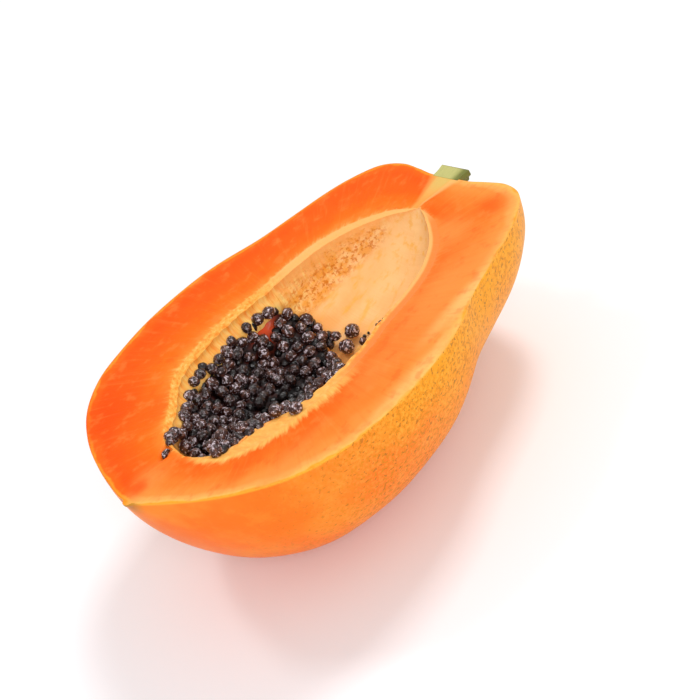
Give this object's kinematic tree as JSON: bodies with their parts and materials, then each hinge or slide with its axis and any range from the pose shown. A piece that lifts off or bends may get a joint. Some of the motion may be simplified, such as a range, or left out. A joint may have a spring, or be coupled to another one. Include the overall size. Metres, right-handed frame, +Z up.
{
  "type": "papaya half",
  "caption": "Ripe papaya cut in half lengthwise, lying cut face up, with a hollow seed cavity, a heap of round dark seeds and half of its stem stub.",
  "frame": {"origin": "on the surface that the fruit lies on, under the middle of its bounding box", "axes": "+X from the blossom tip to the stem end, +Y across the cut face, +Z up out of the cut face"},
  "size_m": [0.2048, 0.134, 0.0758],
  "materials": {
    "flesh": "moist cut flesh and satin yellow-orange skin",
    "stem": "matt, pale green cut stem",
    "seed": "wet, dark brown, slightly wrinkled"
  },
  "bodies": {
    "root": {"papaya_half": "flesh", "stem_stub": "stem", "seeds": "seed", "seed_loose_1": "seed", "seed_loose_2": "seed", "seed_loose_3": "seed"}
  },
  "joints": []
}
